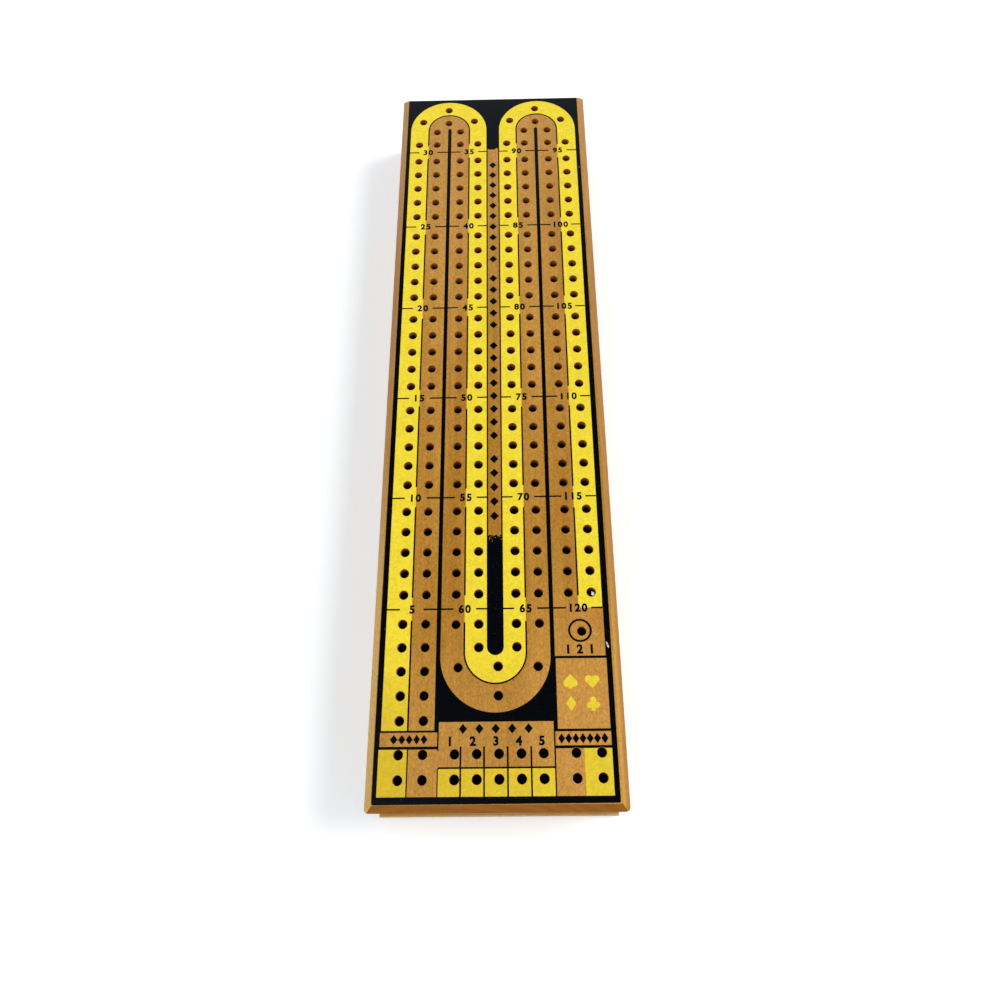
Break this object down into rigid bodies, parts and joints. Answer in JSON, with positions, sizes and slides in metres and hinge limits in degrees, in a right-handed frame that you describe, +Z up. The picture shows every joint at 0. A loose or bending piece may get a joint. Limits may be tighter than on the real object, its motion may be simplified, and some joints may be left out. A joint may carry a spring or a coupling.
{
  "type": "cribbage box with drawer",
  "caption": "Long wooden cribbage box: a chamfered pegging board with a looping hole track, on a shallow case whose end drawer holds cards and pegs.",
  "frame": {"origin": "on the table, in the middle of the footprint", "axes": "+Z up out of the playing face; +Y along the length to the closed back end; the drawer leaves along -Y; +X to the right as the player reads the board"},
  "size_m": [0.0826, 0.308, 0.0302],
  "materials": {
    "board_maple": "satin",
    "case_maple": "satin",
    "drawer_maple": "matte",
    "panel_hardboard": "matte",
    "brad_steel": "satin",
    "peg_brass": "polished",
    "peg_steel": "polished",
    "ink_black": "satin",
    "ink_yellow": "satin"
  },
  "bodies": {
    "case": {"top_board": "board_maple", "side_rail_left": "case_maple", "side_rail_right": "case_maple", "back_rail": "case_maple", "bottom_panel": "panel_hardboard", "panel_brads": "brad_steel", "corner_brads": "brad_steel"},
    "drawer": {"drawer_front": "case_maple", "drawer_side_left": "drawer_maple", "drawer_side_right": "drawer_maple", "drawer_back": "drawer_maple", "drawer_floor": "panel_hardboard", "drawer_divider_front": "drawer_maple", "drawer_divider_rear": "drawer_maple", "drawer_brads": "brad_steel"},
    "peg_brass_1": {"peg_brass_1": "peg_brass"},
    "peg_brass_2": {"peg_brass_2": "peg_brass"},
    "peg_brass_3": {"peg_brass_3": "peg_brass"},
    "peg_steel_1": {"peg_steel_1": "peg_steel"},
    "peg_steel_2": {"peg_steel_2": "peg_steel"},
    "peg_steel_3": {"peg_steel_3": "peg_steel"}
  },
  "joints": [
    {"name": "drawer_slide", "type": "slide", "parent": "case", "child": "drawer", "axis": [0, -1, 0], "range_m": [0, 0.24]},
    {"name": "peg_brass_1_lift", "type": "slide", "parent": "drawer", "child": "peg_brass_1", "axis": [0, 0, 1], "range_m": [0, 0.009]},
    {"name": "peg_brass_2_lift", "type": "slide", "parent": "drawer", "child": "peg_brass_2", "axis": [0, 0, 1], "range_m": [0, 0.009]},
    {"name": "peg_brass_3_lift", "type": "slide", "parent": "drawer", "child": "peg_brass_3", "axis": [0, 0, 1], "range_m": [0, 0.009]},
    {"name": "peg_steel_1_lift", "type": "slide", "parent": "drawer", "child": "peg_steel_1", "axis": [0, 0, 1], "range_m": [0, 0.009]},
    {"name": "peg_steel_2_lift", "type": "slide", "parent": "drawer", "child": "peg_steel_2", "axis": [0, 0, 1], "range_m": [0, 0.009]},
    {"name": "peg_steel_3_lift", "type": "slide", "parent": "drawer", "child": "peg_steel_3", "axis": [0, 0, 1], "range_m": [0, 0.009]}
  ]
}
